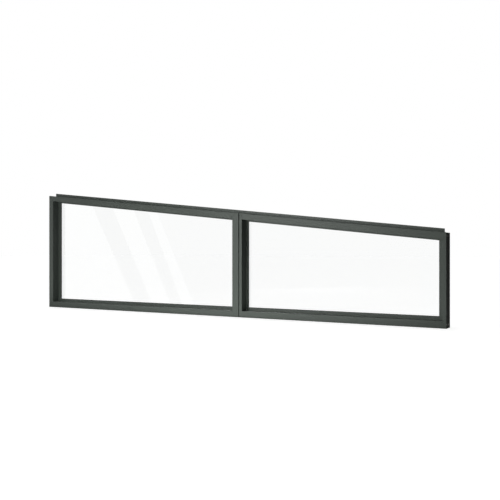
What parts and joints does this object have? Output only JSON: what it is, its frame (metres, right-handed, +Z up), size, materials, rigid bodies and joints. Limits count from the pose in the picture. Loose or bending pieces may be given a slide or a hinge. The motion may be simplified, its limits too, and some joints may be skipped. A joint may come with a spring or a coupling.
{
  "type": "raked fixed window",
  "caption": "Fixed aluminium window with a raked head: coupled dark grey-green frames, clear beaded panes side by side and a fin strip standing on the head.",
  "frame": {"origin": "middle of the footprint, at the underside of the sills", "axes": "+X along the window from its tall end to its short end, +Y from the front to the beaded back, +Z up"},
  "size_m": [2.4, 0.064, 0.6908],
  "materials": {
    "powder_coat": "satin dark grey-green powder coat on extruded aluminium",
    "clear_glass": "clear polished float glass",
    "gasket_rubber": "matt black extruded rubber"
  },
  "bodies": {
    "root": {"head_fin": "powder_coat", "left_glass": "clear_glass", "left_head": "powder_coat", "left_head_back_gasket": "gasket_rubber", "left_head_bead": "powder_coat", "left_head_front_gasket": "gasket_rubber", "left_jamb": "powder_coat", "left_jamb_back_gasket": "gasket_rubber", "left_jamb_bead": "powder_coat", "left_jamb_front_gasket": "gasket_rubber", "left_mullion_back_gasket": "gasket_rubber", "left_mullion_bead": "powder_coat", "left_mullion_front_gasket": "gasket_rubber", "left_sill": "powder_coat", "left_sill_back_gasket": "gasket_rubber", "left_sill_bead": "powder_coat", "left_sill_front_gasket": "gasket_rubber", "mullion_left_half": "powder_coat", "mullion_right_half": "powder_coat", "right_glass": "clear_glass", "right_head": "powder_coat", "right_head_back_gasket": "gasket_rubber", "right_head_bead": "powder_coat", "right_head_front_gasket": "gasket_rubber", "right_jamb": "powder_coat", "right_jamb_back_gasket": "gasket_rubber", "right_jamb_bead": "powder_coat", "right_jamb_front_gasket": "gasket_rubber", "right_mullion_back_gasket": "gasket_rubber", "right_mullion_bead": "powder_coat", "right_mullion_front_gasket": "gasket_rubber", "right_sill": "powder_coat", "right_sill_back_gasket": "gasket_rubber", "right_sill_bead": "powder_coat", "right_sill_front_gasket": "gasket_rubber"}
  },
  "joints": []
}
